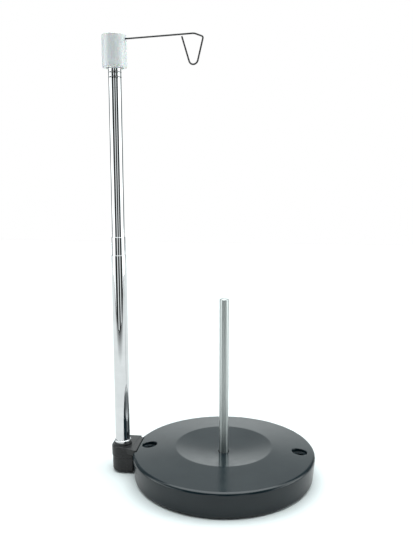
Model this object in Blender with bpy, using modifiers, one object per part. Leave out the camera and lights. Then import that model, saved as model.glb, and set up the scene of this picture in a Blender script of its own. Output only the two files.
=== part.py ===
"""Thread cone and spool stand: a round cast base, a spool pin and a three-stage telescopic mast.

The frame: the spool pin's axis is the Z axis, the table is z = 0, and the mast stands at -X.
Every length is in metres; MM turns millimetres into metres.
"""
import math

import bmesh
import bpy
from mathutils import Vector

MM = 0.001

# ---------------------------------------------------------------- driving dimensions
# Base casting
BASE_RADIUS = 60.0 * MM
RIM_TOP = 17.6 * MM               # height of the top at the rim, above the table
RIDGE_TOP = 20.4 * MM             # the top rises as a flat cone to the ridge round the dish
BASE_BOTTOM = 0.8 * MM            # the casting's rim clears the table by this much
BASE_DRAFT = 1.5 * MM             # the side leans in by this much at its foot
RIM_ROUND = 2.2 * MM
FOOT_ROUND = 1.8 * MM
RIDGE_OUTER = 32.5 * MM           # the ridge is a narrow level land, on which a wide cone rests
RIDGE_INNER = 31.1 * MM
DISH_FLOOR_RADIUS = 5.5 * MM
DISH_FLOOR = 16.3 * MM            # height of the level spot round the pin
DISH_POWER = 1.4                  # the dish rises as the distance to this power

# Anti-slip pad, let into the underside
PAD_THICKNESS = 2.0 * MM
PAD_RADIUS = 54.8 * MM
GAP = 0.3 * MM                    # drawn between two pieces that rest on each other
RUNNING_GAP = 0.04 * MM           # a bush in its tube, on the radius

# The two screw-down holes
HOLE_OFFSET = 49.7 * MM
HOLE_RADIUS = 3.1 * MM
HOLE_COUNTERBORE_RADIUS = 4.9 * MM
HOLE_SHELF = 16.0 * MM            # height of the counterbore's floor above the table
PAD_HOLE_RADIUS = 4.0 * MM

# Spool pin and what holds it
PIN_RADIUS = 3.0 * MM
PIN_TOP = 119.0 * MM
PIN_SEAT_DEPTH = 3.3 * MM         # how far its shoulder is sunk below the dish floor
PIN_SEAT_RADIUS = 3.5 * MM
TAIL_RADIUS = 2.5 * MM
NUT_POCKET_RADIUS = 7.2 * MM
NUT_POCKET_TOP = 7.8 * MM
NUT_ACROSS_FLATS = 8.0 * MM
NUT_HEIGHT = 3.0 * MM
PIN_WASHER_RADIUS = 5.0 * MM
PIN_WASHER_HEIGHT = 1.0 * MM

# Mast
MAST_X = -67.9 * MM
OUTER_RADIUS = 4.80 * MM
MIDDLE_RADIUS = 4.46 * MM
TOP_RADIUS = 4.10 * MM
OUTER_WALL = 0.20 * MM
MIDDLE_WALL = 0.22 * MM
TOP_WALL = 0.24 * MM
LIP_GAP = 0.06 * MM               # a rolled lip round the next tube, on the radius
OUTER_LIP_HEIGHT = 1.5 * MM
MIDDLE_LIP_HEIGHT = 1.2 * MM
OUTER_TUBE_BOTTOM = 5.9 * MM
OUTER_TUBE_TOP = 146.2 * MM
MIDDLE_EXPOSED = 11.6 * MM        # how far the middle tube stands out of the outer one
MIDDLE_LENGTH = 130.0 * MM
TOP_EXPOSED = 103.5 * MM          # from the middle tube's lip to the cap's lower edge
TOP_LENGTH = 124.0 * MM
TOP_PLUG_LENGTH = 17.0 * MM       # the two rows of crimped dimples hold it
BUSH_HEIGHT = 2.9 * MM
BUSH_SPIGOT = 4.5 * MM
BUSH_HOLE_RADIUS = 1.5 * MM

# Bracket that carries the mast on the side of the base
BOSS_RADIUS = 7.3 * MM
BOSS_STEP = 0.4 * MM              # the lower half of the bracket is this much slimmer
BOSS_STEP_HEIGHT = 11.1 * MM
BRACKET_TOP = 18.2 * MM
NECK_RADIUS = 6.0 * MM            # the raised ring of the bracket round the tube
NECK_TOP = 20.1 * MM
BRACKET_BOTTOM = 1.2 * MM
BRACKET_BACK = 15.0 * MM          # how far it reaches behind the mast
BRACKET_CORNER = 4.5 * MM
BRACKET_LIP_BOTTOM = 14.3 * MM    # the lip that hooks over the casting's rim
BRACKET_LIP_X = -56.6 * MM
BRACKET_LIP_FRONT = -11.0 * MM
BRACKET_LIP_BACK = 12.0 * MM
SOCKET_RADIUS = 4.95 * MM
SOCKET_FLOOR = 5.6 * MM
BRACKET_SCREW_Y = 10.2 * MM
BRACKET_SCREW_Z = 7.6 * MM

# Collar: the bright ring round the tube, on the bracket's neck
COLLAR_HEIGHT = 1.7 * MM
COLLAR_RADIUS = 5.4 * MM

# Thread guide on top of the mast
CAP_RADIUS = 7.7 * MM
CAP_HEIGHT = 19.7 * MM
CAP_ROUND = 0.7 * MM
CAP_BORE_RADIUS = 5.4 * MM
CAP_BORE_DEPTH = 9.2 * MM
SWIVEL_NECK_RADIUS = 2.4 * MM
SWIVEL_HEAD_RADIUS = 3.1 * MM
SWIVEL_GAP = 0.2 * MM
WIRE_RADIUS = 0.5 * MM
WIRE_DROP = 3.0 * MM              # the arm lies this far below the cap's top
ARM_ANGLE = math.radians(-15.9)   # where the arm points, seen from above

# Mesh fineness
BASE_SEGMENTS = 72
TUBE_SEGMENTS = 40
SMALL_SEGMENTS = 24
ARC_STEPS = 5

PARTS_COLLECTION = "thread_stand"
CUTTERS_COLLECTION = "thread_stand_cutters"


# ---------------------------------------------------------------- scene helpers
def clear_scene():
    """Remove every object, so that a second run starts clean."""
    for old in list(bpy.data.objects):
        bpy.data.objects.remove(old, do_unlink=True)


def collection(name):
    """Return a collection of this name, linked to the scene."""
    found = bpy.data.collections.get(name) or bpy.data.collections.new(name)
    if found.name not in bpy.context.scene.collection.children:
        bpy.context.scene.collection.children.link(found)
    return found


def material(name, colour, roughness, metallic=0.0):
    """Return a Principled material of one colour."""
    made = bpy.data.materials.new(name)
    made.use_nodes = True
    shader = made.node_tree.nodes["Principled BSDF"]
    shader.inputs["Base Color"].default_value = (*colour, 1.0)
    shader.inputs["Roughness"].default_value = roughness
    shader.inputs["Metallic"].default_value = metallic
    made.diffuse_color = (*colour, 1.0)
    return made


def place(obj, is_cutter, look=None, parent=None):
    """Put an object in its collection, give it its material and its parent."""
    collection(CUTTERS_COLLECTION if is_cutter else PARTS_COLLECTION).objects.link(obj)
    if is_cutter:
        obj.hide_render = True
        obj.display_type = "WIRE"
    if look is not None:
        obj.data.materials.append(look)
    if parent is not None:
        obj.parent = parent
    return obj


def empty(name, location, parent=None, turn=0.0):
    """An empty that stands on a joint's axis."""
    made = bpy.data.objects.new(name, None)
    made.location = location
    made.rotation_euler = (0.0, 0.0, turn)
    made.empty_display_size = 10.0 * MM
    return place(made, False, parent=parent)


# ---------------------------------------------------------------- shape helpers
def arc(centre, radius, start, end, steps=ARC_STEPS):
    """Points of an arc from angle start to angle end, in degrees, both ends included."""
    angles = [math.radians(start + (end - start) * i / steps) for i in range(steps + 1)]
    return [(centre[0] + radius * math.cos(a), centre[1] + radius * math.sin(a)) for a in angles]


def turned(name, profile, segments, look=None, parent=None, closed=False, is_cutter=False):
    """A turned piece: a profile of (radius, height) points, spun about Z by a Screw modifier.

    The profile runs outward along the top, down the outer side and back inward. A solid's
    profile starts and ends on the axis; a ring's is a closed loop.
    """
    mesh = bpy.data.meshes.new(name)
    vertices = [(r, 0.0, z) for r, z in profile]
    edges = [(i, i + 1) for i in range(len(profile) - 1)]
    if closed:
        edges.append((len(profile) - 1, 0))
    mesh.from_pydata(vertices, edges, [])
    obj = place(bpy.data.objects.new(name, mesh), is_cutter, look, parent)
    spin = obj.modifiers.new("Spin", "SCREW")
    spin.steps = segments
    spin.render_steps = segments
    spin.use_merge_vertices = True
    spin.merge_threshold = 0.001 * MM
    spin.use_smooth_shade = True
    return obj


def cylinder(name, radius, bottom, top, segments=SMALL_SEGMENTS, **options):
    """A plain round bar between two heights."""
    profile = [(0.0, top), (radius, top), (radius, bottom), (0.0, bottom)]
    return turned(name, profile, segments, **options)


def ring(name, outer, inner, bottom, top, segments=SMALL_SEGMENTS, edge=0.0, **options):
    """A washer or sleeve between two heights, with its outer edges broken by edge."""
    profile = [(inner, top), (outer - edge, top), (outer, top - edge)]
    profile += [(outer, bottom + edge), (outer - edge, bottom), (inner, bottom)]
    if not edge:
        profile = [(inner, top), (outer, top), (outer, bottom), (inner, bottom)]
    return turned(name, profile, segments, closed=True, **options)


def along_x(obj, x, y, z):
    """Lay a turned piece down, so that its own Z points along -X."""
    obj.rotation_euler = (0.0, -math.pi / 2, 0.0)
    obj.location = (x, y, z)
    return obj


def slab(name, outline, bottom, top, edge=0.0, look=None, is_cutter=False):
    """A flat outline of (x, y) points with a thickness; edge rounds its long edges."""
    curve = bpy.data.curves.new(name, "CURVE")
    curve.dimensions = "2D"
    curve.fill_mode = "BOTH"
    curve.extrude = (top - bottom) / 2
    spline = curve.splines.new("POLY")
    spline.points.add(len(outline) - 1)
    for point, (x, y) in zip(spline.points, outline):
        point.co = (x, y, 0.0, 1.0)
    spline.use_cyclic_u = True
    guide = bpy.data.objects.new(name + "_outline", curve)
    guide.location = (0.0, 0.0, (top + bottom) / 2)
    bpy.context.scene.collection.objects.link(guide)
    obj = curve_to_mesh(guide, name)
    place(obj, is_cutter, look)
    if edge:
        rounded = obj.modifiers.new("Edges", "BEVEL")
        rounded.width = edge
        rounded.segments = 2
        rounded.limit_method = "ANGLE"
        rounded.angle_limit = math.radians(60.0)
    return obj


def curve_to_mesh(guide, name):
    """Turn a curve object into a closed mesh object in the same place."""
    bpy.context.view_layer.update()
    evaluated = guide.evaluated_get(bpy.context.evaluated_depsgraph_get())
    mesh = bpy.data.meshes.new_from_object(evaluated)
    mesh.name = name
    work = bmesh.new()
    work.from_mesh(mesh)
    bmesh.ops.remove_doubles(work, verts=work.verts, dist=0.001 * MM)
    work.to_mesh(mesh)
    work.free()
    obj = bpy.data.objects.new(name, mesh)
    obj.matrix_world = guide.matrix_world.copy()
    bpy.data.objects.remove(guide, do_unlink=True)
    return obj


def boolean(target, other, operation):
    """Cut the other object from the target, or join it to the target."""
    step = target.modifiers.new(operation.title() + "_" + other.name, "BOOLEAN")
    step.operation = operation
    step.solver = "EXACT"
    step.object = other
    return target


def box_cutter(name, low, high):
    """A box between two corners, used only to cut."""
    mesh = bpy.data.meshes.new(name)
    work = bmesh.new()
    bmesh.ops.create_cube(work, size=1.0)
    size = Vector(high) - Vector(low)
    middle = (Vector(high) + Vector(low)) / 2
    for vertex in work.verts:
        vertex.co = Vector(a * b for a, b in zip(vertex.co, size)) + middle
    work.to_mesh(mesh)
    work.free()
    return place(bpy.data.objects.new(name, mesh), True)


def hex_prism(name, across_flats, bottom, top, is_cutter=False, look=None, parent=None):
    """A hexagonal prism with its flats across Y, standing on Z."""
    mesh = bpy.data.meshes.new(name)
    work = bmesh.new()
    corner = across_flats / math.sqrt(3.0)
    bmesh.ops.create_cone(work, cap_ends=True, segments=6, radius1=corner, radius2=corner,
                          depth=top - bottom)
    bmesh.ops.translate(work, verts=work.verts, vec=(0.0, 0.0, (top + bottom) / 2))
    work.to_mesh(mesh)
    work.free()
    return place(bpy.data.objects.new(name, mesh), is_cutter, look, parent)


def fillet(before, corner, after, radius, steps=6):
    """Replace a sharp corner of a path in a plane by an arc that is tangent to both legs."""
    to_before = (Vector(before) - Vector(corner)).normalized()
    to_after = (Vector(after) - Vector(corner)).normalized()
    half = to_before.angle(to_after) / 2
    centre = Vector(corner) + (to_before + to_after).normalized() * (radius / math.sin(half))
    first = Vector(corner) + to_before * (radius / math.tan(half)) - centre
    last = Vector(corner) + to_after * (radius / math.tan(half)) - centre
    sweep = first.angle_signed(last)
    points = []
    for i in range(steps + 1):
        turn = -sweep * i / steps
        x = first.x * math.cos(turn) - first.y * math.sin(turn)
        y = first.x * math.sin(turn) + first.y * math.cos(turn)
        points.append((centre.x + x, centre.y + y))
    return points


# ---------------------------------------------------------------- the base
def base_profile():
    """The casting's section, from the pin seat across the top, down the rim and back under."""
    seat = DISH_FLOOR - PIN_SEAT_DEPTH
    foot = BASE_RADIUS - BASE_DRAFT
    under = PAD_THICKNESS + GAP
    steps = 8
    dish = []
    for i in range(steps + 1):
        t = i / steps
        height = DISH_FLOOR + (RIDGE_TOP - DISH_FLOOR) * t ** DISH_POWER
        dish.append((DISH_FLOOR_RADIUS + (RIDGE_INNER - DISH_FLOOR_RADIUS) * t, height))
    profile = [(PIN_SEAT_RADIUS, DISH_FLOOR)] + dish + [(RIDGE_OUTER, RIDGE_TOP)]
    profile += arc((BASE_RADIUS - RIM_ROUND, RIM_TOP - RIM_ROUND), RIM_ROUND, 90, 0)
    profile += arc((foot - FOOT_ROUND, BASE_BOTTOM + FOOT_ROUND), FOOT_ROUND, 0, -90, 3)
    profile += [(PAD_RADIUS + GAP, BASE_BOTTOM), (PAD_RADIUS + GAP, under)]
    profile += [(NUT_POCKET_RADIUS, under), (NUT_POCKET_RADIUS, NUT_POCKET_TOP)]
    profile += [(TAIL_RADIUS + 0.2 * MM, NUT_POCKET_TOP), (TAIL_RADIUS + 0.2 * MM, seat)]
    profile += [(PIN_SEAT_RADIUS, seat)]
    return profile


def make_base(iron):
    """The casting, with its two screw-down holes, the bracket's seat and its tapped hole."""
    base = turned("base_casting", base_profile(), BASE_SEGMENTS, iron, closed=True)
    above, below = RIDGE_TOP + 3 * MM, -1 * MM
    hole = [(0.0, above), (HOLE_COUNTERBORE_RADIUS, above), (HOLE_COUNTERBORE_RADIUS, HOLE_SHELF)]
    hole += [(HOLE_RADIUS, HOLE_SHELF), (HOLE_RADIUS, below), (0.0, below)]
    for side, x in (("left", -HOLE_OFFSET), ("right", HOLE_OFFSET)):
        cutter = turned("hole_cutter_" + side, hole, SMALL_SEGMENTS, is_cutter=True)
        cutter.location.x = x
        boolean(base, cutter, "DIFFERENCE")
    seat = box_cutter(
        "bracket_seat_cutter",
        (-BASE_RADIUS - 5 * MM, BRACKET_LIP_FRONT - GAP, BRACKET_LIP_BOTTOM - GAP),
        (BRACKET_LIP_X + GAP, BRACKET_BACK + GAP, above))
    boolean(base, seat, "DIFFERENCE")
    tapped = cylinder("tapped_hole_cutter", 2.1 * MM, -14 * MM, 3 * MM, is_cutter=True)
    along_x(tapped, -BASE_RADIUS, BRACKET_SCREW_Y, BRACKET_SCREW_Z)
    boolean(base, tapped, "DIFFERENCE")
    return base


def make_pad(rubber):
    """The anti-slip pad on which the stand rests."""
    profile = [(0.0, PAD_THICKNESS), (PAD_RADIUS, PAD_THICKNESS)]
    profile += [(PAD_RADIUS, 0.4 * MM), (PAD_RADIUS - 0.4 * MM, 0.0), (0.0, 0.0)]
    pad = turned("base_pad", profile, BASE_SEGMENTS, rubber)
    for side, x in (("left", -HOLE_OFFSET), ("right", HOLE_OFFSET)):
        cutter = cylinder("pad_hole_cutter_" + side, PAD_HOLE_RADIUS, -MM, 5 * MM, is_cutter=True)
        cutter.location.x = x
        boolean(pad, cutter, "DIFFERENCE")
    return pad


def make_pin(steel, zinc):
    """The spool pin with its threaded tail, and the washer and thin nut under the base."""
    shoulder = DISH_FLOOR - PIN_SEAT_DEPTH + GAP
    tail_end = PAD_THICKNESS + 0.7 * MM
    crown = 0.8 * MM
    profile = [(0.0, PIN_TOP)]
    profile += arc((PIN_RADIUS - crown, PIN_TOP - crown), crown, 90, 0, 4)
    profile += [(PIN_RADIUS, shoulder), (TAIL_RADIUS, shoulder)]
    profile += [(TAIL_RADIUS, tail_end + 0.5 * MM), (TAIL_RADIUS - 0.5 * MM, tail_end)]
    profile += [(0.0, tail_end)]
    turned("spool_pin", profile, SMALL_SEGMENTS, steel)
    washer_top = NUT_POCKET_TOP - GAP
    washer_bottom = washer_top - PIN_WASHER_HEIGHT
    ring("pin_washer", PIN_WASHER_RADIUS, TAIL_RADIUS + 0.2 * MM, washer_bottom, washer_top,
         edge=0.15 * MM, look=zinc)
    nut_top = washer_bottom - 0.2 * MM
    nut = hex_prism("pin_nut", NUT_ACROSS_FLATS, nut_top - NUT_HEIGHT, nut_top, look=zinc)
    bore = cylinder("nut_bore_cutter", TAIL_RADIUS + 0.1 * MM, 0.0, 10 * MM, is_cutter=True)
    boolean(nut, bore, "DIFFERENCE")


# ---------------------------------------------------------------- the bracket
def bracket_outline(boss, reach_x):
    """Plan of the bracket: round at the front about the mast, square behind it.

    boss is the radius round the mast, and reach_x is where the side towards the base ends.
    """
    left = MAST_X - boss
    back = BRACKET_BACK - (BOSS_RADIUS - boss)
    corner = BRACKET_CORNER
    outline = [(reach_x, back), (left + corner, back)]
    outline += arc((left + corner, back - corner), corner, 90, 180, 6)[1:]
    outline += arc((MAST_X, 0.0), boss, 180, 270, 10)
    outline += [(reach_x, -boss)]
    return outline


def make_bracket(black):
    """The cast bracket: a slim lower half, a fuller upper half and the lip over the rim."""
    slim = BOSS_RADIUS - BOSS_STEP
    lower = slab("mast_bracket", bracket_outline(slim, -50.0 * MM),
                 BRACKET_BOTTOM, BOSS_STEP_HEIGHT + 2.5 * MM, 1.0 * MM, look=black)
    upper = slab("bracket_upper", bracket_outline(BOSS_RADIUS, -48.0 * MM),
                 BOSS_STEP_HEIGHT, BRACKET_TOP, 0.35 * MM, is_cutter=True)
    boolean(lower, upper, "UNION")
    rim = cylinder("rim_cutter", BASE_RADIUS + GAP, -2 * MM, 30 * MM, BASE_SEGMENTS, is_cutter=True)
    boolean(lower, rim, "DIFFERENCE")
    inside = MAST_X + 2.5 * MM
    outline = [(inside, -BOSS_RADIUS + 0.8 * MM), (BRACKET_LIP_X, BRACKET_LIP_FRONT)]
    outline += [(BRACKET_LIP_X, BRACKET_LIP_BACK)]
    outline += [(BRACKET_LIP_X - 3.5 * MM, BRACKET_BACK - 0.6 * MM), (inside, BRACKET_BACK - 0.6 * MM)]
    lip = slab("bracket_lip", outline, BRACKET_LIP_BOTTOM, BRACKET_TOP - 0.15 * MM, 0.35 * MM,
               is_cutter=True)
    boolean(lower, lip, "UNION")
    neck = cylinder("bracket_neck", NECK_RADIUS, BRACKET_TOP - 2 * MM, NECK_TOP, TUBE_SEGMENTS,
                    is_cutter=True)
    neck.location.x = MAST_X
    boolean(lower, neck, "UNION")
    socket = [(0.0, 25 * MM), (SOCKET_RADIUS, 25 * MM), (SOCKET_RADIUS, SOCKET_FLOOR)]
    socket += [(1.75 * MM, SOCKET_FLOOR), (1.75 * MM, 3.9 * MM), (4.0 * MM, 3.9 * MM)]
    socket += [(4.0 * MM, -1 * MM), (0.0, -1 * MM)]
    bore = turned("socket_cutter", socket, TUBE_SEGMENTS, is_cutter=True)
    bore.location.x = MAST_X
    boolean(lower, bore, "DIFFERENCE")
    side = [(0.0, 22 * MM), (4.0 * MM, 22 * MM), (4.0 * MM, 11.5 * MM), (2.2 * MM, 11.5 * MM)]
    side += [(2.2 * MM, -5 * MM), (0.0, -5 * MM)]
    side_hole = turned("side_screw_cutter", side, SMALL_SEGMENTS, is_cutter=True)
    along_x(side_hole, -BASE_RADIUS, BRACKET_SCREW_Y, BRACKET_SCREW_Z)
    boolean(lower, side_hole, "DIFFERENCE")
    return lower


def make_bracket_fixing(zinc):
    """The socket screw and washer that pull the bracket against the rim."""
    head = 12.8 * MM
    profile = [(0.0, head + 2.4 * MM), (3.1 * MM, head + 2.4 * MM), (3.4 * MM, head + 2.1 * MM)]
    profile += [(3.4 * MM, head), (2.0 * MM, head), (2.0 * MM, -9.5 * MM)]
    profile += [(1.6 * MM, -10.0 * MM), (0.0, -10.0 * MM)]
    screw = turned("bracket_screw", profile, SMALL_SEGMENTS, zinc)
    along_x(screw, -BASE_RADIUS, BRACKET_SCREW_Y, BRACKET_SCREW_Z)
    key = hex_prism("screw_key_cutter", 2.5 * MM, head + 0.9 * MM, head + 4 * MM, is_cutter=True)
    along_x(key, -BASE_RADIUS, BRACKET_SCREW_Y, BRACKET_SCREW_Z)
    boolean(screw, key, "DIFFERENCE")
    washer = ring("bracket_washer", 3.8 * MM, 2.15 * MM, 11.8 * MM, 12.6 * MM, edge=0.1 * MM,
                  look=zinc)
    along_x(washer, -BASE_RADIUS, BRACKET_SCREW_Y, BRACKET_SCREW_Z)


# ---------------------------------------------------------------- the mast
def tube_profile(radius, wall, bottom, top, lip_radius=None, lip_height=0.0):
    """Section of a tube whose upper end is rolled inward to lip_radius."""
    inner = radius - wall
    profile = []
    if lip_radius is not None:
        profile += [(lip_radius, top)]
    else:
        profile += [(inner, top)]
    profile += [(radius - 0.18 * MM, top), (radius - 0.05 * MM, top - 0.13 * MM)]
    profile += [(radius, top - 0.35 * MM), (radius, bottom), (inner, bottom)]
    if lip_radius is not None:
        profile += [(inner, top - lip_height - 0.2 * MM), (lip_radius, top - lip_height)]
    return profile


def bush(name, tube_bottom, outside, spigot_radius, look, parent):
    """The sleeve at a sliding tube's lower end: it rubs in the tube around it."""
    top = tube_bottom - 0.1 * MM
    bottom = top - BUSH_HEIGHT
    profile = [(BUSH_HOLE_RADIUS, top + BUSH_SPIGOT), (spigot_radius, top + BUSH_SPIGOT)]
    profile += [(spigot_radius, top), (outside, top), (outside, bottom + 0.3 * MM)]
    profile += [(outside - 0.3 * MM, bottom), (BUSH_HOLE_RADIUS, bottom)]
    return turned(name, profile, TUBE_SEGMENTS, look, parent, closed=True)


def make_mast(chrome, brass, zinc, mast, middle, top_stage):
    """The three tubes, their bushes, the plugged foot and its screw, and the collar."""
    turned("outer_tube",
           tube_profile(OUTER_RADIUS, OUTER_WALL, OUTER_TUBE_BOTTOM, OUTER_TUBE_TOP,
                        MIDDLE_RADIUS + LIP_GAP, OUTER_LIP_HEIGHT),
           TUBE_SEGMENTS, chrome, mast, closed=True)
    plug_radius = OUTER_RADIUS - OUTER_WALL - 0.05 * MM
    plug_top = 10.0 * MM
    plug = cylinder("foot_plug", plug_radius, OUTER_TUBE_BOTTOM, plug_top, TUBE_SEGMENTS,
                    look=brass, parent=mast)
    tap = cylinder("foot_tap_cutter", 1.6 * MM, 4 * MM, 9.3 * MM, is_cutter=True, parent=mast)
    boolean(plug, tap, "DIFFERENCE")
    screw = [(0.0, 9.0 * MM), (1.2 * MM, 9.0 * MM), (1.5 * MM, 8.7 * MM), (1.5 * MM, 2.9 * MM)]
    screw += [(2.8 * MM, 2.9 * MM), (2.8 * MM, 1.9 * MM), (2.3 * MM, 1.3 * MM), (0.0, 1.3 * MM)]
    foot_screw = turned("foot_screw", screw, SMALL_SEGMENTS, zinc, mast)
    half_slot = 0.4 * MM
    slot = box_cutter("foot_slot_cutter", (MAST_X - 4 * MM, -half_slot, 0.5 * MM),
                      (MAST_X + 4 * MM, half_slot, 2.0 * MM))
    boolean(foot_screw, slot, "DIFFERENCE")
    ring("foot_washer", 3.6 * MM, 1.7 * MM, 3.0 * MM, 3.6 * MM, look=zinc, parent=mast)

    bead = 0.45 * MM
    inside = OUTER_RADIUS + 0.1 * MM
    low = NECK_TOP + 0.1 * MM
    high = low + COLLAR_HEIGHT
    collar = [(inside, high)] + arc((COLLAR_RADIUS - bead, high - bead), bead, 90, 0, 3)
    collar += arc((COLLAR_RADIUS - bead, low + bead), bead, 0, -90, 3) + [(inside, low)]
    turned("tube_collar", collar, TUBE_SEGMENTS, chrome, mast, closed=True)

    middle_top = OUTER_TUBE_TOP + MIDDLE_EXPOSED
    middle_bottom = middle_top - MIDDLE_LENGTH
    turned("middle_tube",
           tube_profile(MIDDLE_RADIUS, MIDDLE_WALL, middle_bottom, middle_top,
                        TOP_RADIUS + LIP_GAP, MIDDLE_LIP_HEIGHT),
           TUBE_SEGMENTS, chrome, middle, closed=True)
    bush("middle_bush", middle_bottom, OUTER_RADIUS - OUTER_WALL - RUNNING_GAP,
         MIDDLE_RADIUS - MIDDLE_WALL - 0.06 * MM, brass, middle)

    tube_top = cap_bottom() + CAP_BORE_DEPTH - 0.4 * MM
    tube_bottom = tube_top - TOP_LENGTH
    turned("top_tube", tube_profile(TOP_RADIUS, TOP_WALL, tube_bottom, tube_top),
           TUBE_SEGMENTS, chrome, top_stage, closed=True)
    bush("top_bush", tube_bottom, MIDDLE_RADIUS - MIDDLE_WALL - RUNNING_GAP,
         TOP_RADIUS - TOP_WALL - 0.06 * MM, brass, top_stage)

    plug_side = TOP_RADIUS - TOP_WALL - 0.06 * MM
    head_bottom = cap_bottom() + CAP_BORE_DEPTH + 2.8 * MM
    swivel = [(0.0, head_bottom + 2.4 * MM), (SWIVEL_HEAD_RADIUS - 0.5 * MM, head_bottom + 2.4 * MM)]
    swivel += [(SWIVEL_HEAD_RADIUS, head_bottom + 1.6 * MM), (SWIVEL_HEAD_RADIUS, head_bottom)]
    swivel += [(SWIVEL_NECK_RADIUS, head_bottom), (SWIVEL_NECK_RADIUS, tube_top - 0.3 * MM)]
    swivel += [(plug_side, tube_top - 0.3 * MM), (plug_side, tube_top - TOP_PLUG_LENGTH)]
    swivel += [(0.0, tube_top - TOP_PLUG_LENGTH)]
    turned("tube_top_plug", swivel, TUBE_SEGMENTS, brass, top_stage)


# ---------------------------------------------------------------- the thread guide
def cap_bottom():
    """Height of the cap's lower edge."""
    return OUTER_TUBE_TOP + MIDDLE_EXPOSED + TOP_EXPOSED


def make_cap(plastic, head):
    """The moulded cap: it snaps over the plug's head and turns on its neck."""
    low = cap_bottom()
    high = low + CAP_HEIGHT
    bore_top = low + CAP_BORE_DEPTH
    neck = SWIVEL_NECK_RADIUS + SWIVEL_GAP
    chamber = SWIVEL_HEAD_RADIUS + SWIVEL_GAP
    chamber_low = bore_top + 2.6 * MM
    chamber_high = chamber_low + 3.0 * MM
    profile = [(0.0, high)] + arc((CAP_RADIUS - CAP_ROUND, high - CAP_ROUND), CAP_ROUND, 90, 0)
    profile += [(CAP_RADIUS, low + 0.4 * MM), (CAP_RADIUS - 0.4 * MM, low)]
    profile += [(CAP_BORE_RADIUS, low), (CAP_BORE_RADIUS, bore_top), (neck, bore_top)]
    profile += [(neck, chamber_low), (chamber, chamber_low), (chamber, chamber_high)]
    profile += [(0.0, chamber_high)]
    cap = turned("guide_cap", profile, TUBE_SEGMENTS, plastic, head)
    drill = cylinder("wire_hole_cutter", WIRE_RADIUS + 0.1 * MM, -12 * MM, -2.2 * MM, 16,
                     is_cutter=True, parent=head)
    drill.rotation_euler = (0.0, -math.pi / 2, 0.0)
    drill.location = (0.0, 0.0, high - WIRE_DROP)
    boolean(cap, drill, "DIFFERENCE")
    return cap


def make_wire(steel, head):
    """The guide wire: a level arm, two bends down and an open V whose end comes back to the arm."""
    height = cap_bottom() + CAP_HEIGHT - WIRE_DROP
    inner_end = (2.6 * MM, height)
    shoulder = (53.2 * MM, height)
    elbow = (58.9 * MM, height - 2.2 * MM)
    v_point = (52.93 * MM, height - 24.6 * MM)
    free_end = (45.4 * MM, height - 1.5 * MM)
    path = [inner_end]
    path += fillet(inner_end, shoulder, elbow, 6.0 * MM, 4)
    path += fillet(shoulder, elbow, v_point, 1.2 * MM)
    path += fillet(elbow, v_point, free_end, 2.9 * MM, 10)
    path += [free_end]
    curve = bpy.data.curves.new("guide_wire", "CURVE")
    curve.dimensions = "3D"
    curve.bevel_depth = WIRE_RADIUS
    curve.bevel_resolution = 2
    curve.use_fill_caps = True
    spline = curve.splines.new("POLY")
    spline.points.add(len(path) - 1)
    for point, (reach, z) in zip(spline.points, path):
        point.co = (reach, 0.0, z, 1.0)
    return place(bpy.data.objects.new("guide_wire", curve), False, steel, head)


# ---------------------------------------------------------------- the whole stand
def soften(obj):
    """Smooth shading with the real edges kept sharp."""
    if obj.type == "MESH" and obj.data.polygons:
        obj.data.shade_smooth()
        obj.data.set_sharp_from_angle(angle=math.radians(35.0))


def build():
    """Make every piece of the stand."""
    clear_scene()
    iron = material("black_gloss_paint", (0.030, 0.033, 0.035), 0.22)
    black = material("black_satin_paint", (0.028, 0.029, 0.031), 0.45)
    rubber = material("black_rubber", (0.035, 0.035, 0.035), 0.85)
    steel = material("polished_steel", (0.60, 0.60, 0.60), 0.28, 1.0)
    spring = material("dark_spring_steel", (0.16, 0.16, 0.16), 0.28, 1.0)
    chrome = material("chrome_plate", (0.80, 0.81, 0.82), 0.08, 1.0)
    zinc = material("zinc_plate", (0.62, 0.63, 0.62), 0.35, 1.0)
    brass = material("brass", (0.72, 0.56, 0.28), 0.35, 1.0)
    plastic = material("white_plastic", (0.84, 0.85, 0.84), 0.25)

    mast = empty("mast_axis", (MAST_X, 0.0, 0.0))
    middle = empty("middle_slide_axis", (0.0, 0.0, 0.0), mast)
    top_stage = empty("top_slide_axis", (0.0, 0.0, 0.0), middle)
    head = empty("guide_swivel_axis", (0.0, 0.0, 0.0), top_stage, ARM_ANGLE)

    make_base(iron)
    make_pad(rubber)
    make_pin(steel, zinc)
    make_bracket(black)
    make_bracket_fixing(zinc)
    make_mast(chrome, brass, zinc, mast, middle, top_stage)
    make_cap(plastic, head)
    make_wire(spring, head)
    for obj in bpy.data.collections[PARTS_COLLECTION].objects:
        soften(obj)
    bpy.context.view_layer.update()


build()
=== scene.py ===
# %% [markdown]
# # A thread stand, piece by piece
# The stand holds one cone of sewing thread. A heavy round base carries a steel pin for the cone, and a
# telescopic mast at its side carries a wire guide that leads the thread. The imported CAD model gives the
# fixed frame: every piece below is worked out around it, in metres, and rides on one of its bodies.

# %% Load the frame
import math

import bpy
import numpy as np
from mathutils import Matrix, Vector


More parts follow.
